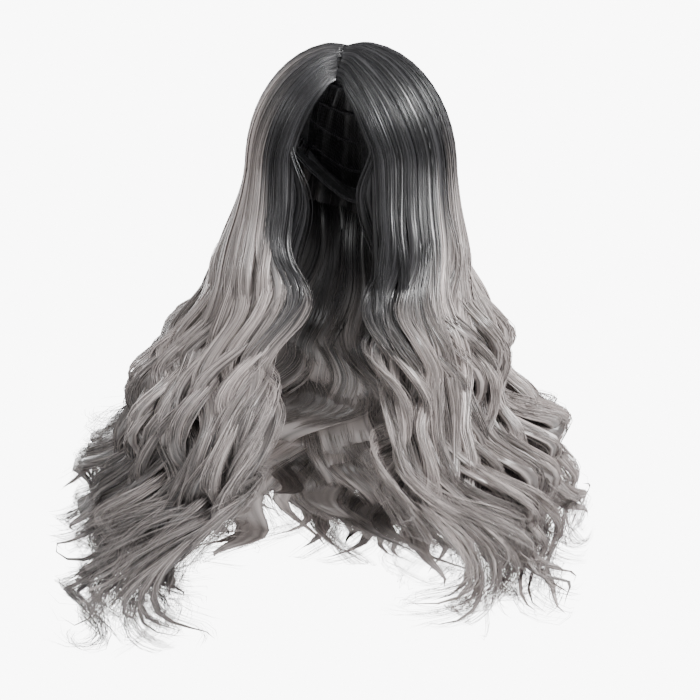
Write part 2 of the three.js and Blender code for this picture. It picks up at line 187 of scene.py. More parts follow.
def smooth_path(knots, values, at):
    """A smooth curve through values at knots, read at each place in at."""
    slopes = np.gradient(values, knots, axis=0)
    i = np.clip(np.searchsorted(knots, at) - 1, 0, len(knots) - 2)
    step = (knots[i + 1] - knots[i])[..., None]
    x = np.clip((at - knots[i])[..., None] / step, 0, 1.2)
    start = (2 * x**3 - 3 * x**2 + 1) * values[i] + (x**3 - 2 * x**2 + x) * step * slopes[i]
    end = (3 * x**2 - 2 * x**3) * values[i + 1] + (x**3 - x**2) * step * slopes[i + 1]
    return start + end


PARTING_REACH = 0.0007  # from the middle of the head to where the hair of a side comes out
ROOT_DEPTH = 0.0014  # from the middle of a top lock down to the strip that it is knotted to
CROWN_SPREAD = 0.4  # of the hair's roots around the crown, as a share of the spread of the CAD locks


def root_point(root):
    """Where the hair of a lock comes out of the cap, from the point at which its CAD lock begins."""
    down = unit(root) * ROOT_DEPTH
    if root[1] > CROWN_BACK:
        return CROWN + (root - CROWN) * CROWN_SPREAD - down
    return np.array([math.copysign(PARTING_REACH, root[0]), root[1], root[2]]) - down


ROOT_SIZE, TIP_SIZE = 0.45, 0.9  # of a lock's ends, as shares of its nearest rings
# How a lock from underneath begins, above its first ring: places out and up, and shares of the ring's size.
UNDER_START = ((0.013, 0.062), (0.009, 0.03))
UNDER_WIDTHS, UNDER_DEPTHS = (0.7, 0.85), (0.15, 0.4)


class Lock:
    """One lock's middle line and half widths, as functions of the distance from its root."""

    def __init__(self, top, fall):
        _, rings, tip = rings_of(fall)
        if top:
            root, over, _ = rings_of(top)
            wide, deep, lead = (part[2:-1] for part in half_widths(over, unit(over.mean(axis=1)[:3])))
            along, out, middle = half_widths(rings, deep[-1])
            if np.sum(wide[-1] * along[1]) <= 0:
                along = -along
            lead = [root_point(root), *lead]
            wide = [wide[0], *wide]
            deep = [deep[0] * ROOT_SIZE, *deep]
        else:
            outward = unit(rings[0].mean(axis=0) * np.array([1, 1, 0]))
            along, out, middle = half_widths(rings, outward)
            lead = [middle[0] + outward * away + UP * above for away, above in UNDER_START]
            wide = [along[1] * share for share in UNDER_WIDTHS]
            deep = [out[1] * share for share in UNDER_DEPTHS]
        self.middle = np.concatenate([lead, middle[1:], [tip]])
        self.along = np.concatenate([wide, along[1:], along[-1:] * TIP_SIZE])
        self.out = np.concatenate([deep, out[1:], out[-1:] * TIP_SIZE])
        if self.along[3][1] < 0:
            self.along = -self.along
        self.knots = reach_along(self.middle)
        self.length = self.knots[-1]
        self.values = np.concatenate([self.middle, self.along, self.out], axis=1)

    def read(self, distance):
        """Middle, half width along the fall and half width out, at each distance."""
        values = smooth_path(self.knots, self.values, distance.ravel())
        return [part.reshape(*distance.shape, 3) for part in np.split(values, 3, axis=1)]


# ---- Strands and masses as meshes ----

UV_ROWS = 2  # rows of strips in a piece's UV layer
BOX_ROOM = 0.009  # how far hair may stand proud of the CAD box
BOX_ROOM_SHARE = 0.027  # and how much further, as a share of the box's side


class Bundle:
    """Closed tubes collected into one mesh, with their shades and their own strips of one UV layer."""

    def __init__(self):
        self.blocks = []

    def add(self, points, fade, tone, weight):
        """Tubes as an array of tube, step, corner and x, y, z. fade and tone are a value for each corner of
        each ring, or for each ring. weight is the width of a tube's strip of the UVs."""
        shape = points.shape[:3]
        shades = [value if value.ndim == 3 else value[..., None] for value in (fade, tone)]
        shades = np.stack([np.broadcast_to(value, shape) for value in shades], axis=-1)
        self.blocks.append((points, shades.reshape(-1, 2), weight))

    def add_strands(self, paths, radius, side_vector, flat, fade, tone, sides=3):
        """A tube along each path, flat deep as a share of its width."""
        tangent = unit(np.gradient(paths, axis=1))
        across = unit(side_vector - tangent * np.sum(side_vector * tangent, axis=-1, keepdims=True))
        normal = np.cross(tangent, across)
        angle = TAU * (np.arange(sides) + 0.25) / sides
        wide, deep = across[:, :, None], flat * normal[:, :, None]
        ring = wide * np.cos(angle)[:, None] + deep * np.sin(angle)[:, None]
        self.add(paths[:, :, None] + radius[:, :, None, None] * ring, fade, tone, 1)

    def build(self, name, material, labels=("fade", "tone")):
        """The mesh object, at the origin. labels are the names that its shades get as attributes."""
        per_row = sum(points.shape[0] * weight for points, _, weight in self.blocks) / UV_ROWS
        vertices, faces, shades, uvs = [], [], [], []
        offset, used = 0, 0.0
        for points, shade, weight in self.blocks:
            count, length, sides = points.shape[:3]
            vertices.append(points.reshape(-1, 3))
            shades.append(shade)
            index = offset + np.arange(count * length * sides).reshape(count, length, sides)
            right = np.roll(index, -1, axis=2)
            quads = np.stack([index[:, :-1], right[:, :-1], right[:, 1:], index[:, 1:]], axis=-1)
            faces.append(quads.reshape(-1, 4))
            begin = used + weight * np.arange(count)
            row = np.minimum(np.floor(begin / per_row), UV_ROWS - 1)
            left = (begin - row * per_row) / (per_row + 2 * weight)
            width = weight / (per_row + 2 * weight)
            turn = (np.arange(sides + 1) / sides * 0.8 + 0.1) * width
            u = left[:, None, None] + turn[None, None, :] + np.zeros((1, length, 1))
            down = np.linspace(0.01, 0.99, length)
            v = ((row[:, None] + down) / UV_ROWS)[:, :, None] + np.zeros((1, 1, sides + 1))
            grid = np.stack([u, v], axis=-1)
            corners = [grid[:, :-1, :-1], grid[:, :-1, 1:], grid[:, 1:, 1:], grid[:, 1:, :-1]]
            uvs.append(np.stack(corners, axis=3).reshape(-1, 2))
            used += weight * count
            offset += count * length * sides
        joined = [np.concatenate(part) for part in (vertices, faces, uvs, shades)]
        attributes = {label: joined[3][:, i] for i, label in enumerate(labels)}
        return mesh_object(name, inside_box(joined[0]), joined[1], material, joined[2], attributes)


def inside_box(points):
    """points with whatever lies beyond the CAD box drawn in to within the room that hair may stand proud."""
    low, high = (np.array(corner) for corner in CAD_BOX)
    room = BOX_ROOM_SHARE * (high - low) + BOX_ROOM
    over = np.maximum(points - high, 0) - np.maximum(low - points, 0)
    return points - over + np.sign(over) * room * (1 - np.exp(-np.abs(over) / room))


def add_object(name, data):
    obj = bpy.data.objects.new(name, data)
    bpy.context.scene.collection.objects.link(obj)
    return obj


def mesh_object(name, vertices, faces, material, uvs=None, attributes=None):
    """A mesh whose faces all have the same number of sides, shaded smooth."""
    mesh = bpy.data.meshes.new(name)
    sides = faces.shape[1]
    mesh.vertices.add(len(vertices))
    mesh.vertices.foreach_set("co", vertices.astype(np.float32).ravel())
    mesh.loops.add(faces.size)
    mesh.loops.foreach_set("vertex_index", faces.astype(np.int32).ravel())
    mesh.polygons.add(len(faces))
    mesh.polygons.foreach_set("loop_start", np.arange(0, faces.size, sides, dtype=np.int32))
    mesh.polygons.foreach_set("use_smooth", np.ones(len(faces), dtype=bool))
    if uvs is not None:
        mesh.uv_layers.new(name="OFBake").data.foreach_set("uv", uvs.astype(np.float32).ravel())
    for label, values in (attributes or {}).items():
        layer = mesh.attributes.new(label, "FLOAT", "POINT")
        layer.data.foreach_set("value", np.ascontiguousarray(values, dtype=np.float32))
    mesh.materials.append(material)
    mesh.update(calc_edges=True)
    return add_object(name, mesh)


# ---- Materials ----


def new_material(name):
    """A material, its tree and its shader."""
    material = bpy.data.materials.new(name)
    material.use_nodes = True
    tree = material.node_tree
    return material, tree, tree.nodes["Principled BSDF"]


def feed(tree, node, inputs):
    """Gives each input a value, or a link to another node's output."""
    for name, value in inputs.items():
        if isinstance(value, bpy.types.NodeSocket):
            tree.links.new(value, node.inputs[name])
        else:
            node.inputs[name].default_value = value


def add_node(tree, kind, inputs, **settings):
    node = tree.nodes.new(kind)
    for name, setting in settings.items():
        setattr(node, name, setting)
    feed(tree, node, inputs)
    return node


def attribute(tree, name):
    return add_node(tree, "ShaderNodeAttribute", {}, attribute_name=name).outputs["Fac"]


# Colour by how far it has faded: charcoal at the root, smoke grey, silver.
HAIR_STOPS = (
    (0.0, (0.02, 0.0197, 0.0217)),
    (0.35, (0.036, 0.0347, 0.037)),
    (0.62, (0.12, 0.111, 0.109)),
    (0.85, (0.28, 0.25, 0.24)),
    (1.0, (0.46, 0.405, 0.388)),
)


def hair_material():
    """Charcoal at the root, fading to silver. Each strand has its own shade, which also carries the painted
    shade of a lock's inner masses and of the shells beneath the strands.
    """
    material, tree, shader = new_material("synthetic_hair")
    ramp = add_node(tree, "ShaderNodeValToRGB", {"Fac": attribute(tree, "fade")})
    elements = ramp.color_ramp.elements
    for position, _ in HAIR_STOPS[1:-1]:
        elements.new(position)
    for element, (_, color) in zip(elements, HAIR_STOPS):
        element.color = (*color, 1)
    tone = attribute(tree, "tone")
    grey = add_node(tree, "ShaderNodeCombineColor", {"Red": tone, "Green": tone, "Blue": tone})
    inputs = {"Factor": 1, "A": ramp.outputs["Color"], "B": grey.outputs["Color"]}
    shade = add_node(tree, "ShaderNodeMix", inputs, data_type="RGBA", blend_type="MULTIPLY")
    color = shade.outputs["Result"]
    feed(tree, shader, {"Base Color": color, "Roughness": 0.3, "Specular IOR Level": 0.6})
    return material


HAIR = hair_material()

# ---- Growing the hair ----

THINNING = 1.0
STRAND = 0.00055  # half the width of a strand, which stands for several fibres
STRAND_FLAT = 0.5
STRAND_LIFT = 0.0004
RIDGE = 0.0005
SHELL_REACH = 0.97  # of the reach of the strands on it
HEAD_RADIUS = 0.1
INWARD_CURLS = 0.45  # share of the masses that curl towards the face
CURL_DOWN = 1.2  # how strongly a curl turns towards the ground
WAVE_LENGTHS, WAVE_SIZES = (0.125, 0.175), (0.009, 0.019)
WAVE_SLANT, WAVE_MIXING = 1.6, 0.7  # radians from one edge of a lock to its middle, and at random
GATHERS = (0.15, 0.4)  # how much narrower a mass is when it hangs
CURL_STARTS, CURL_ANGLES = (0.8, 0.88), (0.2, 1.3)
CURL_WAYS = (0.6, 0.8)  # mean and spread of the way that a curl turns, from along the fall to out of it
MASS_TONES = (0.6, 1.15)
INNER_PAINTED_SHADE = 0.2  # painted shade: how much darker the hair at a lock's inner face is painted, for the shade that falls there
WISPS = 3  # of a mass, at its tip
LOOSE_STRANDS = 0.06


# Shares of a strand's length: close together at its root, wide apart where it lies straight.
COUNTS, SMALL, MIDDLING = (((6, 11, 40), 0.006, 0.022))
LARGE = (1 - (COUNTS[0] * SMALL + COUNTS[1] * MIDDLING)) / COUNTS[2]
SHARE = np.concatenate([[0], np.cumsum(np.repeat([SMALL, MIDDLING, LARGE], COUNTS))])
LOW_SHARE = SHARE[SHARE > 0.4]  # of strands that come out of a mass only where it waves
FRIZZ_HARMONICS = (1, 2, 5)
WAVE_FROM, WAVE_FULL = 0.3, 0.72  # shares of the length between which the waves grow
TIGHTENING = 0.12  # of the waves, by the tip
RINGLET = 0.45  # how much wider the waves are near the tip


class Mass:
    """A mass of hair with its own place in the section of a lock, its own waves and a curl at its tip."""

    def __init__(self, lock, place, half, loose, reach, root_shift, drift):
        self.lock = lock
        self.drift = drift
        self.place = place
        self.half = half
        self.root_shift = root_shift
        self.reach = lock.length * reach
        self.wave_length = rng.uniform(*WAVE_LENGTHS)
        self.wave_phase = WAVE_SLANT * place[0] + rng.uniform(-WAVE_MIXING, WAVE_MIXING)
        self.wave_size = rng.uniform(*WAVE_SIZES) * loose
        self.gather = rng.uniform(*GATHERS)
        self.curl_from = rng.uniform(*CURL_STARTS)
        self.curl_angle = rng.uniform(*CURL_ANGLES) * loose
        self.curl_way = rng.normal(*CURL_WAYS)
        if rng.random() < INWARD_CURLS:
            self.curl_way = np.pi - self.curl_way
        # Painted shade: masses towards a lock's inner face get a darker tone, for the shade between the
        # layers.
        inner = 1 - smoothstep(place[1], -0.6, 0.4)
        self.tone = rng.uniform(*MASS_TONES) * (1 - INNER_PAINTED_SHADE * inner)

    def paths(self, a, b, reach, frizz, phase, curl, way, steps):
        """Points of strands at places a and b from the mass's middle, as shares of the lock's half widths.
        steps are the shares of their length at which the points lie."""
        distance = reach[:, None] * steps
        share = np.broadcast_to(steps, distance.shape)
        middle, along, out = self.lock.read(distance)
        closing = 1 - self.gather * smoothstep(share, 0.3, 0.9)
        spread = 1 + 0.2 * smoothstep(share, 0.35, 1)
        shift = self.root_shift * (1 - smoothstep(share, 0, 0.14))
        place_a = self.place[0] * spread + a * closing + shift
        front, rear = self.drift
        drifted = front * (1 - place_a) / 2 + rear * (1 + place_a) / 2
        place_a = place_a + drifted * smoothstep(share, 0.12, 0.4)
        place_b = self.place[1] * spread + b * closing
        side, face = unit(along), unit(out)
        aside = place_a[..., None] * along
        path = middle + aside + place_b[..., None] * out
        bulge = np.sum(aside**2, axis=-1) / (2 * (HEAD_RADIUS + 0.15 * share))
        path = path - bulge[..., None] * face
        turn = TAU * distance / self.wave_length * (1 + TIGHTENING * share**3) + self.wave_phase
        turn = turn + phase[:, None] * smoothstep(share, 0.3, 0.8)
        wider = RINGLET * smoothstep(share, 0.7, 0.95)
        size = self.wave_size * (smoothstep(share, WAVE_FROM, WAVE_FULL) + wider)
        path = path + (size * np.sin(turn))[..., None] * side + (0.8 * size * np.cos(turn))[..., None] * face
        curl_angle, curl_way = self.curl_angle * curl, self.curl_way + way
        path = path + self.curl(distance, share, middle, side, face, curl_angle, curl_way)
        for harmonic in FRIZZ_HARMONICS:
            turn = TAU * (harmonic * share * 1.7 + rng.uniform(0, 1, (len(reach), 1)))
            throw = frizz[:, None] / harmonic * (0.15 + 1.2 * smoothstep(share, 0.25, 1))
            throw_way = unit(rng.normal(size=(len(reach), 1, 3)))
            path = path + (np.sin(turn) * throw)[..., None] * throw_way
        return path, along, out, distance

    def curl(self, distance, share, middle, side, face, angle, way):
        """How far the tip's curl carries each point from the straight path."""
        at = int(np.searchsorted(share[0], self.curl_from))
        tangent = unit(middle[:, at + 1] - middle[:, at - 1])[:, None]
        bent = np.cos(way)[:, None] * side[:, at] + np.sin(way)[:, None] * face[:, at] - CURL_DOWN * UP
        bent = unit(bent[:, None] - tangent * np.sum(bent[:, None] * tangent, axis=-1, keepdims=True))
        late = np.clip((share - self.curl_from) / (1 - self.curl_from), 0, 1)
        theta = angle[:, None] * late**1.3
        step = np.diff(distance, axis=1, prepend=distance[:, :1])
        short = np.cumsum(step * (np.cos(theta) - 1), axis=1)
        aside = np.cumsum(step * np.sin(theta), axis=1)
        return short[..., None] * tangent + aside[..., None] * bent


def ridges(columns, steps):
    """Ridges along a mass, a height for each column and step. They drift between columns on the way."""
    keys = rng.normal(0, 1, (6, columns))
    keys = keys + 0.35 * (np.roll(keys, 1, axis=1) + np.roll(keys, -1, axis=1))
    at = steps * (len(keys) - 1)
    low = np.minimum(at.astype(int), len(keys) - 2)
    blend = smoothstep(at - low, 0, 1)[:, None]
    return ((1 - blend) * keys[low] + blend * keys[low + 1]).T


def add_shell(bundle, mass, fade, columns):
    """The mass itself: one closed body with ridges, so that no light falls through between its strands."""
    turn = TAU * np.arange(columns)[:, None] / columns
    profile = (1 - smoothstep(SHARE, 0.78, 1.0)) ** 0.5
    profile[0] = 0.02
    a = mass.half[0] * np.sign(np.cos(turn)) * np.abs(np.cos(turn)) ** 0.8 * profile
    b = mass.half[1] * np.sin(turn) * profile
    still = np.zeros(columns)
    reach = np.full(columns, mass.reach * SHELL_REACH)
    path, along, out, distance = mass.paths(a, b, reach, still, still, np.ones(columns), still, SHARE)
    wide = mass.half[0] * np.linalg.norm(along, axis=-1, keepdims=True)
    deep = mass.half[1] * np.linalg.norm(out, axis=-1, keepdims=True)
    normal = unit(np.cos(turn)[..., None] * deep * unit(along) + np.sin(turn)[..., None] * wide * unit(out))
    path = path + (RIDGE * ridges(columns, SHARE) * profile)[..., None] * normal
    fading = fade(distance, mass.place[0]) + 0.12 * ridges(columns, SHARE)
    # Painted shade: the shell is darker than the strands on it, for the shade beneath them; its columns also
    # differ in tone at random.
    tone = mass.tone * np.clip(0.7 + 0.24 * ridges(columns, SHARE), 0.25, 1.2)
    bundle.add(path.transpose(1, 0, 2)[None], fading.T[None], tone.T[None], columns / 2)


class Wisps:
    """The few wisps into which the strands of a mass gather towards the tip."""

    def __init__(self):
        self.start = rng.uniform(0, TAU)
        self.turn = self.start + TAU * (np.arange(WISPS) + rng.uniform(-0.2, 0.2, WISPS)) / WISPS
        self.phase = rng.normal(0, 0.35, WISPS)
        self.curl = rng.uniform(0.5, 1.4, WISPS)
        self.way = rng.normal(0, 0.5, WISPS)
        self.reach = rng.uniform(0.9, 1.03, WISPS)


def add_surface_strands(bundle, mass, wisps, fade, count, steps):
    """Strands that lie on the mass, cross it slowly and gather into its wisps."""
    turn = rng.uniform(0, TAU, count)
    wisp = np.floor((turn - wisps.start) / TAU * WISPS + 0.5).astype(int) % WISPS
    loose = rng.random(count) < LOOSE_STRANDS
    turn = turn[:, None] + rng.normal(0, 0.4, (count, 1)) * steps
    away = rng.uniform(0.88, 1.2, (count, 1)) + 0.25 * smoothstep(steps, 0.35, 1)
    away = away * smoothstep(steps - steps[0], -0.04, 0.03)
    gathered = np.where(loose, 0.2, rng.uniform(0.3, 0.8, count))[:, None] * smoothstep(steps, 0.66, 1)
    centre = wisps.turn[wisp][:, None]
    a = mass.half[0] * ((1 - gathered) * np.cos(turn) * away + gathered * 0.75 * np.cos(centre))
    b = mass.half[1] * ((1 - gathered) * np.sin(turn) * away * 1.12 + gathered * 0.9 * np.sin(centre))
    reach = mass.reach * wisps.reach[wisp] * rng.uniform(0.93, 1.03, count)
    frizz = np.where(loose, rng.uniform(0.001, 0.006, count), np.abs(rng.normal(0.0003, 0.0006, count)))
    phase = wisps.phase[wisp] + rng.normal(0, 0.1, count)
    curl = wisps.curl[wisp] * rng.uniform(0.85, 1.15, count)
    way = wisps.way[wisp] + rng.normal(0, 0.12, count)
    path, along, out, distance = mass.paths(a, b, reach, frizz, phase, curl, way, steps)
    path = path + (STRAND_LIFT * np.sin(turn))[..., None] * unit(out)
    radius = STRAND * np.where(loose, 0.4, rng.uniform(0.65, 1.25, count))[:, None] * (1 - 0.6 * steps**6)
    radius[:, [0, -1]] *= 0.05
    tone = mass.tone * rng.uniform(0.45, 1.4, (count, 1)) * (1 + 0.12 * ridges(count, steps))
    fading = fade(distance, mass.place[0]) + rng.normal(0, 0.14, (count, 1))
    bundle.add_strands(path, radius, out, STRAND_FLAT, fading, tone)


# The masses of a lock by layer, from its outer to its inner face: how many, their place and half depth in
# the lock's section, their share of the strands and how loosely they wave.
UPPER_LAYERS = ((4, 0.5, 0.42, 0.56, 1.0), (3, -0.1, 0.4, 0.26, 1.1), (2, -0.62, 0.34, 0.18, 0.9))
UNDER_LAYERS = ((3, 0.4, 0.45, 0.55, 1.1), (2, -0.4, 0.45, 0.45, 1.0))

MASS_WIDTH = 1.65  # of all the masses of a layer together, so that they overlap, in half widths of the lock
COLUMNS = 36  # of a mass's ridges
STRANDS = 300  # of a lock, from the root
LOW_STRANDS = 0.85  # for each of those, how many come out only where the hair waves


def grow_lock(name, nodes, fade, root_shift=0.0, drift=(0, 0)):
    """One lock of hair in place of its nodes: its top lock, or None for hair underneath, and its lock of the
    fall. drift is how far its front and rear edges stay behind those of the CAD lock, in half widths."""
    top, fall = nodes
    lock = Lock(top, fall)
    bundle = Bundle()
    for masses, level, depth, portion, loose in UPPER_LAYERS if top else UNDER_LAYERS:
        for i in range(masses):
            a = (2 * (i + 0.5) / masses - 1) * 0.98
            place = (a + rng.uniform(-0.04, 0.04), level + rng.uniform(-0.08, 0.08))
            reach = rng.uniform(0.95, 1.05)
            shift = root_shift if i == 0 else 0
            mass = Mass(lock, place, (MASS_WIDTH / masses, depth), loose, reach, shift, drift)
            wisps = Wisps()
            add_shell(bundle, mass, fade, COLUMNS)
            strands = STRANDS * portion * THINNING / masses
            add_surface_strands(bundle, mass, wisps, fade, int(strands), SHARE)
            add_surface_strands(bundle, mass, wisps, fade, int(strands * LOW_STRANDS), LOW_SHARE)
    obj = bundle.build(name, HAIR)
    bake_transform(obj)
    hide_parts(*[node for node in (top, fall) if node])


# Where hair starts to fade, in metres from its root, for shares of the way from the face to the rear.
# 1 is the wearer's left and -1 the right.
FADE_START = {
    1: ((0, 0.15, 0.3, 0.4, 0.5, 0.7, 1), (0.25, 0.24, 0.23, 0.17, 0.1, 0.09, 0.13)),
    -1: ((0, 0.05, 0.1, 0.2, 0.3, 0.6, 0.8, 1), (0.27, 0.2, 0.12, 0.04, -0.02, -0.01, 0.06, 0.12)),
}
FADE_LENGTH = {1: 0.13, -1: 0.15}
TIP_PAINTED_SHADE = {1: 0.0, -1: 0.2}  # painted shade: how much darker hair is painted again at its tips, on the wearer's right, away from the key light
TIP_SHADE_FROM, TIP_SHADE_TO = 0.34, 0.52
BACK_FADE, BACK_UNDER_FADE = (0.13, 0.28), (0.03, 0.26)
UNDER_FADES = ((0.12, 0.27), (0.0, 0.14))


def side_fade(place, sign):
    """How far the colour has faded at a distance from the root, for hair a half widths from the middle of a
    lock at that place. Hair beside the face stays dark for longer."""

    def fade(distance, a):
        start = np.interp(place + a / 10, *FADE_START[sign])
        faded = np.minimum((distance - start) / FADE_LENGTH[sign], 1)
        # Painted shade: on the wearer's right the colour turns back towards dark at the tips, for the shade
        # away from the key light.
        return faded * (1 - TIP_PAINTED_SHADE[sign] * smoothstep(distance, TIP_SHADE_FROM, TIP_SHADE_TO))

    return fade


def plain_fade(start, end):
    return lambda distance, a: (distance - start) / (end - start)


ROOT_SHIFT = -0.5  # brings the first roots to the front of the parting, in half widths of the lock
# The first lock keeps clear of the face, and the last one closes up to the hair of the back.
DRIFTS = {1: {0: (0.55, 0), 4: (0, 0.5)}, -1: {0: (0.4, 0), 4: (0, 1.1)}}
UNDER_DRIFTS = ((0.7, 0), (0, 0.5))


def grow_side(side, sign):
    """The hair of one side: five locks from the parting, then two underneath."""
    for i in range(5):
        nodes = (f"{side}_top_lock_{i + 1}", f"{side}_fall_lock_{i + 1}")
        fade = side_fade((i + 0.5) / 5, sign)
        shift = ROOT_SHIFT if i == 0 else 0
        grow_lock(f"{side}_lock_{i + 1}", nodes, fade, shift, DRIFTS[sign].get(i, (0, 0)))
    for i in range(2):
        nodes = (None, f"{side}_under_lock_{i + 1}")
        fade = plain_fade(*UNDER_FADES[i])
        grow_lock(f"{side}_under_hair_{i + 1}", nodes, fade, drift=UNDER_DRIFTS[i])


def grow_back():
    """The hair of the back: four locks from the crown, then three underneath."""
    for i in range(1, 5):
        nodes = (f"back_top_lock_{i}", f"back_fall_lock_{i}")
        grow_lock(f"back_lock_{i}", nodes, plain_fade(*BACK_FADE))
    for i in range(1, 4):
        nodes = (None, f"back_under_lock_{i}")
        grow_lock(f"back_under_hair_{i}", nodes, plain_fade(*BACK_UNDER_FADE))


grow_side("left", 1)
grow_side("right", -1)
grow_back()

# ---- Cloth, net and moulded materials ----

WAVE_UNIT = TAU / 20  # the period of Blender's wave texture at scale 1
WEAVE_DEPTH = 0.0002
RIB_HEIGHT = 0.35  # beside a weave's
SHADES = (0.4, 1.6)  # the darkest and the lightest, as shares of a material's colour


def math_node(tree, operation, a, b=0.0):
    """The output of a node that works on two values, each a number or another node's output."""
    return add_node(tree, "ShaderNodeMath", {0: a, 1: b}, operation=operation).outputs["Value"]


def weave(tree, place, period):
    """The height of a plain weave, from two waves that cross."""
    waves = []
    for turn in (1, -1):
        mapping = add_node(tree, "ShaderNodeMapping", {"Vector": place, "Scale": (1, 1, turn)})
        inputs = {"Vector": mapping.outputs["Vector"], "Scale": WAVE_UNIT / period, "Distortion": 0.6}
        wave = add_node(tree, "ShaderNodeTexWave", inputs, bands_direction="DIAGONAL")
        waves.append(wave.outputs["Fac"])
    return math_node(tree, "MULTIPLY", *waves)


def ribs(tree, spacing):
    """The height of ribs along the rim, that far apart in millimetres."""
    turn = math_node(tree, "MULTIPLY", attribute(tree, "rim"), TAU / spacing)
    return math_node(tree, "MULTIPLY", math_node(tree, "SINE", turn), RIB_HEIGHT)


def noise(tree, place, scale):
    inputs = {"Vector": place, "Scale": scale, "Detail": 4}
    return add_node(tree, "ShaderNodeTexNoise", inputs).outputs["Fac"]


def finish_material(tree, shader, color, shade, height, depth, roughness, specular):
    """color made darker and lighter by shade, and bumps of that height."""
    darker, lighter = (tuple(share * c for c in color) + (1,) for share in SHADES)
    mix = add_node(tree, "ShaderNodeMix", {"A": darker, "B": lighter, "Factor": shade}, data_type="RGBA")
    bump = add_node(tree, "ShaderNodeBump", {"Distance": depth, "Strength": 0.8, "Height": height})
    feed(tree, shader, {"Base Color": mix.outputs["Result"], "Normal": bump.outputs["Normal"]})
    feed(tree, shader, {"Roughness": roughness, "Specular IOR Level": specular})


def woven(name, color, period, roughness, rib_spacing=0):
    material, tree, shader = new_material(name)
    place = add_node(tree, "ShaderNodeTexCoord", {}).outputs["Object"]
    height = weave(tree, place, period)
    if rib_spacing:
        height = math_node(tree, "ADD", height, ribs(tree, rib_spacing))
    uneven = math_node(tree, "MULTIPLY", noise(tree, place, 260), 0.5)
    # Painted shade: the colour is darker where the weave and the ribs are low, for the shade in their
    # hollows; the noise adds tone that differs at random.
    shade = math_node(tree, "ADD", math_node(tree, "MULTIPLY", height, 0.6), uneven)
    finish_material(tree, shader, color, shade, height, WEAVE_DEPTH, roughness, 0.3)
    return material


def speckled(name, color, roughness, scale, depth):
    """A moulding or a thread."""
    material, tree, shader = new_material(name)
    uneven = noise(tree, add_node(tree, "ShaderNodeTexCoord", {}).outputs["Object"], scale)
    finish_material(tree, shader, color, uneven, uneven, depth, roughness, 0.5)
    return material


LINING = woven("soft_lining", (0.1, 0.1, 0.105), 0.0009, 0.85)
ELASTIC = woven("ribbed_elastic", (0.075, 0.075, 0.08), 0.0007, 0.7, 1.3)
MONOFILAMENT = woven("monofilament", (0.1, 0.095, 0.09), 0.0005, 0.6)
WEFT_TAPE = woven("weft_tape", (0.05, 0.05, 0.055), 0.0008, 0.6, 0.9)
NET_YARN = speckled("net_yarn", (0.07, 0.07, 0.075), 0.7, 900, 0.00005)
THREAD = speckled("sewing_thread", (0.16, 0.16, 0.165), 0.5, 1500, 0.00003)
STAY_STRIP = speckled("stay_strip", (0.75, 0.73, 0.7), 0.35, 200, 0.00003)
HOOK_PLASTIC = speckled("hook_plastic", (0.03, 0.03, 0.03), 0.22, 350, 0.00002)

# ---- The cap ----

HEAD = np.array([0.077, 0.097, 0.101])  # half axes of the head form that the cap lies on


def offset_from_head(points):
    """How far out from the head form each point lies."""
    offset = np.zeros(len(points))
    for _ in range(8):
        grown = HEAD + offset[:, None]
        value = np.sum((points / grown) ** 2, axis=1) - 1
        offset = offset + value / np.sum(2 * points**2 / grown**3, axis=1)
    return offset


def directions_of(points):
    return unit(points / (HEAD + offset_from_head(points)[:, None]))


def toward(azimuth, latitude):
    """Directions by azimuth, from the forehead to the wearer's left, and latitude, in radians."""
    level = np.cos(latitude)
    return np.stack([level * np.sin(azimuth), -level * np.cos(azimuth), np.sin(latitude)], axis=-1)


def angles_of(points):
    """The azimuth and latitude at which each point lies on the head form."""
    way = directions_of(points)
    return np.arctan2(way[:, 0], -way[:, 1]), np.arcsin(way[:, 2])


def refine(points, triangles, cuts):
    """Each triangle cut into cuts by cuts. points may have more columns after x, y and z."""
    steps = [(i, j) for i in range(cuts + 1) for j in range(cuts + 1 - i)]
    place = {step: k for k, step in enumerate(steps)}
    share = np.array([(cuts - i - j, i, j) for i, j in steps]) / cuts
    cells = []
    for i, j in steps:
        if i + j < cuts:
            cells.append((place[i, j], place[i + 1, j], place[i, j + 1]))
        if i + j < cuts - 1:
            cells.append((place[i + 1, j], place[i + 1, j + 1], place[i, j + 1]))
    fine = np.einsum("kc,tcd->tkd", share, points[triangles]).reshape(-1, points.shape[1])
    faces = np.arange(len(triangles))[:, None, None] * len(steps) + np.array(cells)
    first, same = merged(fine[:, :3], 1e7)
    return fine[first], same[faces.reshape(-1, 3)]


def rim_loops(points, triangles, on_face):
    """The closed lines where one face of a thin body meets its side wall. on_face flags the face's points."""
    following = {}
    for corners in triangles:
        flags = on_face[corners]
        if flags.sum() == 2:
            turned = np.roll(corners, 2 - int(np.argmin(flags)))
            following[turned[1]] = turned[0]
    loops = []
    while following:
        loop = [next(iter(following))]
        while loop[-1] in following:
            loop.append(following.pop(loop[-1]))
        loops.append(points[loop])
    return loops


def resampled(line, spacing=math.inf, least=8):
    """Points evenly spaced along a line of points, and how far along each one is."""
    reach = reach_along(line)
    at = np.linspace(0, reach[-1], max(least, int(reach[-1] / spacing)))
    return np.stack([np.interp(at, reach, line[:, k]) for k in range(3)], axis=1), at


def add_threads(bundle, paths, outward, radius, ends, flat, sides):
    """Threads of an even radius, with ends that are a share of it."""
    radii = np.full(paths.shape[:2], radius)
    radii[:, [0, -1]] *= ends
    plain = np.ones((len(paths), 1))
    bundle.add_strands(paths, radii, outward, flat, plain, plain, sides)


SEAMS = Bundle()
STITCH_PITCH, STITCH_LENGTH = 0.0031, 0.0023
STITCH_RADIUS, STITCH_LIFT = 0.00018, 0.00016


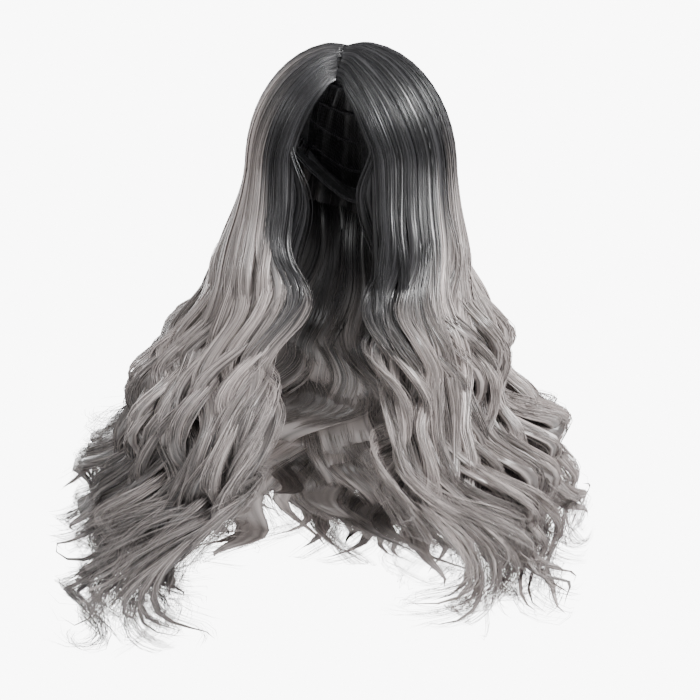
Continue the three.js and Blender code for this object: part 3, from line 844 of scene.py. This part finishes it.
def add_stitches(line, way):
    """A row of stitches along a line on the head, on the side of the cloth that way points to: 1 is out."""
    line, at = resampled(line, 0.0005)
    count = max(2, round(at[-1] / STITCH_PITCH))
    steps = np.linspace(0, 1, 7)
    read = np.linspace(0, at[-1], count, endpoint=False)[:, None] + STITCH_LENGTH * steps
    paths = np.stack([np.interp(read, at, line[:, k]) for k in range(3)], axis=-1)
    outward = unit(paths / HEAD**2)
    paths = paths + way * STITCH_LIFT * (2 * np.sin(np.pi * steps)[:, None] - 1) * outward
    add_threads(SEAMS, paths, outward, STITCH_RADIUS, 0.3, 0.8, 5)


HEM = ((0, 0.0008, 0.0018, 0.0024), (0.5, 1.45, 1.35, 1.0))  # distances from the rim, and thickness there
HEM_STITCH = 0.0013


def rim_distance(points, rims):
    """How far each point is from the nearest point of the rims."""
    nearest = np.full(len(points), 1.0)
    for start in range(0, len(rims), 64):
        gap = np.linalg.norm(points[:, None] - rims[None, start : start + 64], axis=2)
        nearest = np.minimum(nearest, gap.min(axis=1))
    return nearest


def put_in_place(obj, body, slot, *nodes):
    """obj rides on a body, and stands for those CAD nodes. slot is not used."""
    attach(obj, body)
    if nodes:
        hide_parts(*nodes)


def sewn_piece(name, node, material, slot, cuts, insets=(HEM_STITCH,)):
    """Cloth on the head in place of a thin CAD body: finer, hemmed, and stitched inside its rim."""
    points, triangles = triangles_of(node)
    offset = offset_from_head(points)
    middle, half = (offset.min() + offset.max()) / 2, (offset.max() - offset.min()) / 2
    rims = rim_loops(points, triangles, offset < middle)
    fine, faces = refine(np.concatenate([points, offset[:, None]], axis=1), triangles, cuts)
    way = directions_of(fine[:, :3])
    dense = [resampled(rim, 0.0008)[0] for rim in rims]
    level_rims = np.concatenate([directions_of(rim) * (HEAD + middle) for rim in dense])
    distance = rim_distance(way * (HEAD + middle), level_rims)
    thick = (fine[:, 3] - middle) * np.interp(distance, *HEM)
    places = way * (HEAD + (middle + thick)[:, None])
    obj = mesh_object(name, places, faces, material, attributes={"rim": distance * 1000})
    put_in_place(obj, "cap", slot, node)
    face = middle - half * np.interp(HEM_STITCH, *HEM)
    for rim in dense:
        inward = np.cross(unit(np.gradient(rim, axis=0)), unit(rim / HEAD**2))
        for inset in insets:
            add_stitches(directions_of(rim + inset * inward) * (HEAD + face), -1)


def add_sewn_pieces():
    sewn_piece("front_band_cloth", "front_band", LINING, "lining", 10, (HEM_STITCH, 0.0032))
    sewn_piece("nape_band_elastic", "nape_band", ELASTIC, "elastic", 10)
    for side in ("left", "right"):
        sewn_piece(f"{side}_ear_tab_cloth", f"{side}_ear_tab", LINING, "lining", 8, (HEM_STITCH, 0.003))
        sewn_piece(f"{side}_tab_stay_strip", f"{side}_tab_stay", STAY_STRIP, "stay", 6, ())
    for side in ("left", "centre", "right"):
        sewn_piece(f"{side}_back_tape_elastic", f"{side}_back_tape", ELASTIC, "elastic", 10)
    sewn_piece("parting_strip_cloth", "parting_strip", MONOFILAMENT, "parting_base", 8)
    sewn_piece("crown_whorl_cloth", "crown_whorl", MONOFILAMENT, "parting_base", 5)
    for row in range(1, 7):
        sewn_piece(f"weft_row_{row}_tape", f"weft_row_{row}", WEFT_TAPE, "weft", 7)
    put_in_place(SEAMS.build("cap_stitching", THREAD), "cap", "lining")


NET_RADIUS, NET_SPACING = 0.0002, 0.0034
NET_LEVELS = (0.0024, 0.00278)  # of its two families of threads, out from the head form
NET_STEPS = 46
NET_RIM = {"level": 0.0026, "radius": 0.0008, "inset": 0.006}


def net_edge():
    """Azimuths round the net, and the latitude of its edge at each."""
    azimuth, latitude = angles_of(triangles_of("net_cap")[0])
    column = np.round(np.degrees(azimuth), 1)
    columns = np.unique(column[latitude < 1.5])
    lowest = [latitude[(column == c) & (latitude < 1.5)].min() for c in columns]
    around = np.radians(np.arange(-180, 180))
    read = np.interp(around, np.radians(columns), lowest, period=TAU)
    return around, sum(np.roll(read, shift) for shift in range(-5, 6)) / 11


def net_threads(turn, level, edge):
    """Threads that cross the net one way, as lines on the head seen from above its crown."""
    far = math.radians(150)
    along = np.linspace(-far, far, 420)
    threads = []
    for aside in np.arange(-far, far, NET_SPACING / HEAD.mean()):
        x = along * math.cos(turn) - aside * math.sin(turn)
        y = along * math.sin(turn) + aside * math.cos(turn)
        azimuth, latitude = np.arctan2(x, -y), np.pi / 2 - np.hypot(x, y)
        inside = latitude > np.interp(azimuth, *edge, period=TAU) + NET_RIM["inset"]
        changes = np.flatnonzero(np.diff(np.concatenate([[0], inside.astype(int), [0]])))
        for start, end in changes.reshape(-1, 2):
            if end - start > 4:
                line = toward(azimuth[start:end], latitude[start:end]) * (HEAD + level)
                threads.append(resampled(line, least=NET_STEPS)[0])
    return np.array(threads)


def add_net():
    """The cap's net: two families of threads that cross, and the bound edge that they end in."""
    edge = net_edge()
    bundle = Bundle()
    for turn, level in zip((math.pi / 4, -math.pi / 4), NET_LEVELS):
        paths = net_threads(turn, level, edge)
        add_threads(bundle, paths, paths, NET_RADIUS, 0.05, 1, 4)
    around = np.append(edge[0], edge[0][0])
    latitude = np.append(edge[1], edge[1][0]) + 0.5 * NET_RIM["inset"]
    rim = (toward(around, latitude) * (HEAD + NET_RIM["level"]))[None]
    add_threads(bundle, rim, rim, NET_RIM["radius"], 1, 1, 8)
    put_in_place(bundle.build("cap_net", NET_YARN), "cap", "net", "net_cap")


FRINGE = {"count": 300, "length": (0.015, 0.023), "level": 0.0054, "radius": 0.0003}


def add_weft_fringe():
    """The beginnings of the hair that is folded over each weft."""
    bundle = Bundle()
    steps = np.linspace(0, 1, 7)
    count = int(FRINGE["count"] * THINNING)
    for row in range(1, 7):
        azimuth, latitude = angles_of(triangles_of(f"weft_row_{row}")[0])
        azimuth = azimuth % TAU
        order = np.argsort(azimuth)
        start = rng.uniform(azimuth.min(), azimuth.max(), count)[:, None]
        high = np.interp(start, azimuth[order], latitude[order])
        down = rng.uniform(*FRINGE["length"], count)[:, None] / HEAD[2]
        way = toward(start + rng.normal(0, 0.02, (count, 1)) * steps, high - down * steps)
        level = FRINGE["level"] + 0.0006 * np.sin(np.pi * steps)[:, None]
        paths = way * (HEAD + level)
        radius = FRINGE["radius"] * (1 - 0.8 * steps) * rng.uniform(0.6, 1.2, (count, 1))
        dark = rng.uniform(-0.2, 0.2, (count, 1))
        bundle.add_strands(paths, radius, paths, 0.6, dark, rng.uniform(0.5, 1.3, (count, 1)), 3)
    put_in_place(bundle.build("weft_fringe", HAIR), "cap", "weft")


# ---- Adjusters ----

BEVEL = 0.00022
SHARP = 0.6  # radians between the faces at an edge that is bevelled
STRAP = {"half_width": 0.0032, "half_depth": 0.00042, "corners": 28, "steps": 150}
BUCKLE = 0.0075  # length of the end of a hook that its strap goes round
# The strap's way there: forward from the buckle's back end, and in towards the head.
TO_SLOT = ((-0.0008, -0.001242), (0.00075, -0.00135), (0.002125, -0.0010125), (0.0025, 0))
AND_BACK = ((0.002125, 0.0010125), (0.00075, 0.00135), (-0.0008, 0.0012825))
STRAP_FOLD = 0.00095  # between the two layers of the strap where it is folded back and sewn


def bevelled(name, node, material, slot, body):
    """A moulded piece with its edges rounded."""
    form = bmesh.new()
    form.from_mesh(frame["nodes"][node].data)
    bmesh.ops.remove_doubles(form, verts=form.verts, dist=1e-6)
    bmesh.ops.dissolve_limit(form, angle_limit=0.02, verts=form.verts, edges=form.edges)
    sharp = [edge for edge in form.edges if edge.is_manifold and edge.calc_face_angle() > SHARP]
    size = {"offset": BEVEL, "segments": 3, "profile": 0.5, "clamp_overlap": True}
    bmesh.ops.bevel(form, geom=sharp, affect="EDGES", **size)
    mesh = bpy.data.meshes.new(name)
    form.to_mesh(mesh)
    form.free()
    mesh.materials.clear()
    mesh.materials.append(material)
    mesh.shade_smooth()
    mesh.set_sharp_from_angle(angle=SHARP)
    put_in_place(add_object(name, mesh), body, slot, node)


class HookFrame:
    """Where a hook's buckle is: its back end, its tongue's way, its width and the way to the head."""

    def __init__(self, side):
        joints = frame["record"]["behaviour"]["joints"]
        joint = next(j for j in joints if j["name"] == f"{side}_adjuster_slide")
        self.tongue = unit(np.array(joint["axis"]))
        points, _ = triangles_of(f"{side}_adjuster_hook")
        along = points @ self.tongue
        buckle = points[along < along.min() + BUCKLE]
        flat = buckle - np.outer(buckle @ self.tongue, self.tongue)
        _, _, axes = np.linalg.svd(flat - flat.mean(axis=0))
        self.width = axes[0]
        self.inward = axes[1] * (1 if axes[1] @ buckle.mean(axis=0) < 0 else -1)
        centre = buckle.mean(axis=0)
        self.back = centre + (along.min() - centre @ self.tongue) * self.tongue

    def at(self, forward, inward):
        return self.back + forward * self.tongue + inward * self.inward


def strap_rings(side):
    """Middles and half widths of a CAD strap, from its sewn end to its hook."""
    points, _ = triangles_of(f"{side}_adjuster_strap")
    azimuth, latitude = angles_of(points)
    column = np.round(np.degrees(np.abs(azimuth)), 1)
    middles, halves = [], []
    for c in np.unique(column)[::-1]:
        ring = points[column == c]
        top = latitude[column == c] > latitude[column == c].mean()
        middles.append(ring.mean(axis=0))
        halves.append((ring[top].mean(axis=0) - ring[~top].mean(axis=0)) / 2)
    return np.array(middles), np.array(halves)


def add_strap(side):
    """The elastic strap, sewn to the nape band, that goes round the bar of the hook's buckle and back."""
    middles, halves = strap_rings(side)
    hook = HookFrame(side)
    fold = hook.inward * STRAP_FOLD
    loop = [hook.at(*place) for place in TO_SLOT + AND_BACK]
    folded_back = [middles[-2] + fold, 0.4 * middles[-2] + 0.6 * middles[-3] + fold]
    path = np.concatenate([middles[:-1], loop, folded_back])
    width = hook.width * (1 if hook.width @ halves[-1] > 0 else -1) * STRAP["half_width"]
    across = np.concatenate([halves[:-1], np.tile(width, (len(loop), 1)), halves[-2:-4:-1]])
    knots = reach_along(path)
    at = np.linspace(0, knots[-1], STRAP["steps"])
    read = smooth_path(knots, np.concatenate([path, across], axis=1), at)
    line, across = read[:, :3], read[:, 3:]
    depth = np.cross(unit(np.gradient(line, axis=0)), unit(across)) * STRAP["half_depth"]
    turn = TAU * np.arange(STRAP["corners"]) / STRAP["corners"]
    wide = np.sign(np.cos(turn)) * np.abs(np.cos(turn)) ** 0.6
    deep = np.sign(np.sin(turn)) * np.abs(np.sin(turn)) ** 0.6
    tube = line[:, None] + wide[:, None] * across[:, None] + deep[:, None] * depth[:, None]
    tube = np.concatenate([line[:1, None] + 0 * tube[:1], tube, line[-1:, None] + 0 * tube[:1]])
    rim = np.broadcast_to((1 - np.abs(wide)) * STRAP["half_width"] * 1000, tube.shape[:2])
    bundle = Bundle()
    bundle.add(tube[None], rim[None], rim[None] * 0 + 1, 1)
    obj = bundle.build(f"{side}_adjuster_strap_elastic", ELASTIC, ("rim", "tone"))
    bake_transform(obj)
    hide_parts(f"{side}_adjuster_strap")


add_sewn_pieces()
add_net()
add_weft_fringe()
for side in ("left", "right"):
    bevelled(f"{side}_loop_ladder_webbing", f"{side}_loop_ladder", ELASTIC, "elastic", "cap")
    bevelled(f"{side}_hook_moulding", f"{side}_adjuster_hook", HOOK_PLASTIC, "hook", f"{side}_adjuster")
    add_strap(side)

# ---- Stage, light and camera ----

FLOOR_LEVEL, FLOOR_RADIUS, FLOOR_CORNERS = -0.78, 1.1, 96


def add_floor():
    turn = np.linspace(0, TAU, FLOOR_CORNERS, endpoint=False)
    rim = FLOOR_RADIUS * np.stack([np.cos(turn), np.sin(turn), 0 * turn], axis=1)
    rim[:, 2] = FLOOR_LEVEL
    material, tree, shader = new_material("pale_paper")
    feed(tree, shader, {"Base Color": (0.9, 0.9, 0.9, 1), "Roughness": 0.9})
    mesh_object("floor", rim, np.arange(FLOOR_CORNERS)[None], material)


WHITE = (1, 1, 1, 1)
SEEN_WHITE, AMBIENT = 9.0, 0.5  # strengths of the world where it is looked at and as a light


def add_world():
    world = bpy.data.worlds.new("studio")
    bpy.context.scene.world = world
    world.use_nodes = True
    tree = world.node_tree
    soft = tree.nodes["Background"]
    feed(tree, soft, {"Color": WHITE, "Strength": AMBIENT})
    seen = add_node(tree, "ShaderNodeBackground", {"Color": WHITE, "Strength": SEEN_WHITE})
    ray = add_node(tree, "ShaderNodeLightPath", {})
    inputs = {0: ray.outputs["Is Camera Ray"], 1: soft.outputs[0], 2: seen.outputs[0]}
    mix = add_node(tree, "ShaderNodeMixShader", inputs)
    feed(tree, tree.nodes["World Output"], {"Surface": mix.outputs[0]})


def aimed(obj, place, way):
    """obj at a place, looking that way."""
    obj.location = place
    obj.rotation_mode = "QUATERNION"
    obj.rotation_quaternion = way.to_track_quat("-Z", "Y")
    return obj


LIGHTS = (  # place, target, size and watts
    ("key", (1.8, -1.6, 1.25), (0.08, 0, -0.16), (0.5, 0.8), 155),
    ("fill", (-2.1, -1.6, 1.2), (0, 0, -0.05), (1.0, 1.0), 30),
    ("front", (0.3, -2.3, 1.8), (0.1, 0, -0.2), (1.2, 1.0), 26),
    ("top", (0.3, -0.3, 2.0), (0, 0, 0), (1.6, 1.6), 8),
    ("rear_right", (-1.7, 1.7, 0.9), (0, 0, -0.15), (1.2, 1.4), 50),
    ("rear_left", (1.6, 1.8, 0.9), (0, 0, -0.15), (1.2, 1.4), 50),
)


def add_lights():
    for name, place, target, size, energy in LIGHTS:
        data = bpy.data.lights.new(name, "AREA")
        data.shape = "RECTANGLE"
        data.size, data.size_y = size
        data.energy = energy
        aimed(add_object(name, data), place, Vector(target) - Vector(place))


CAMERA_AZIMUTH = math.radians(10)
CAMERA_DISTANCE = 2.6
VIEW_WIDTH = 0.77  # at the middle of the wig
VIEW_DROP = 0.3375  # from the top of the wig down to the middle of the picture


def add_camera():
    """A long lens, a little to the wearer's left."""
    data = bpy.data.cameras.new("camera")
    data.lens = data.sensor_width * CAMERA_DISTANCE / VIEW_WIDTH
    aim = Vector((0, 0, CAD_BOX[1].z - VIEW_DROP))
    back = Vector((math.sin(CAMERA_AZIMUTH), -math.cos(CAMERA_AZIMUTH), 0))
    camera = aimed(add_object("camera", data), aim + back * CAMERA_DISTANCE, -back)
    bpy.context.scene.camera = camera


add_floor()
add_world()
add_lights()
add_camera()
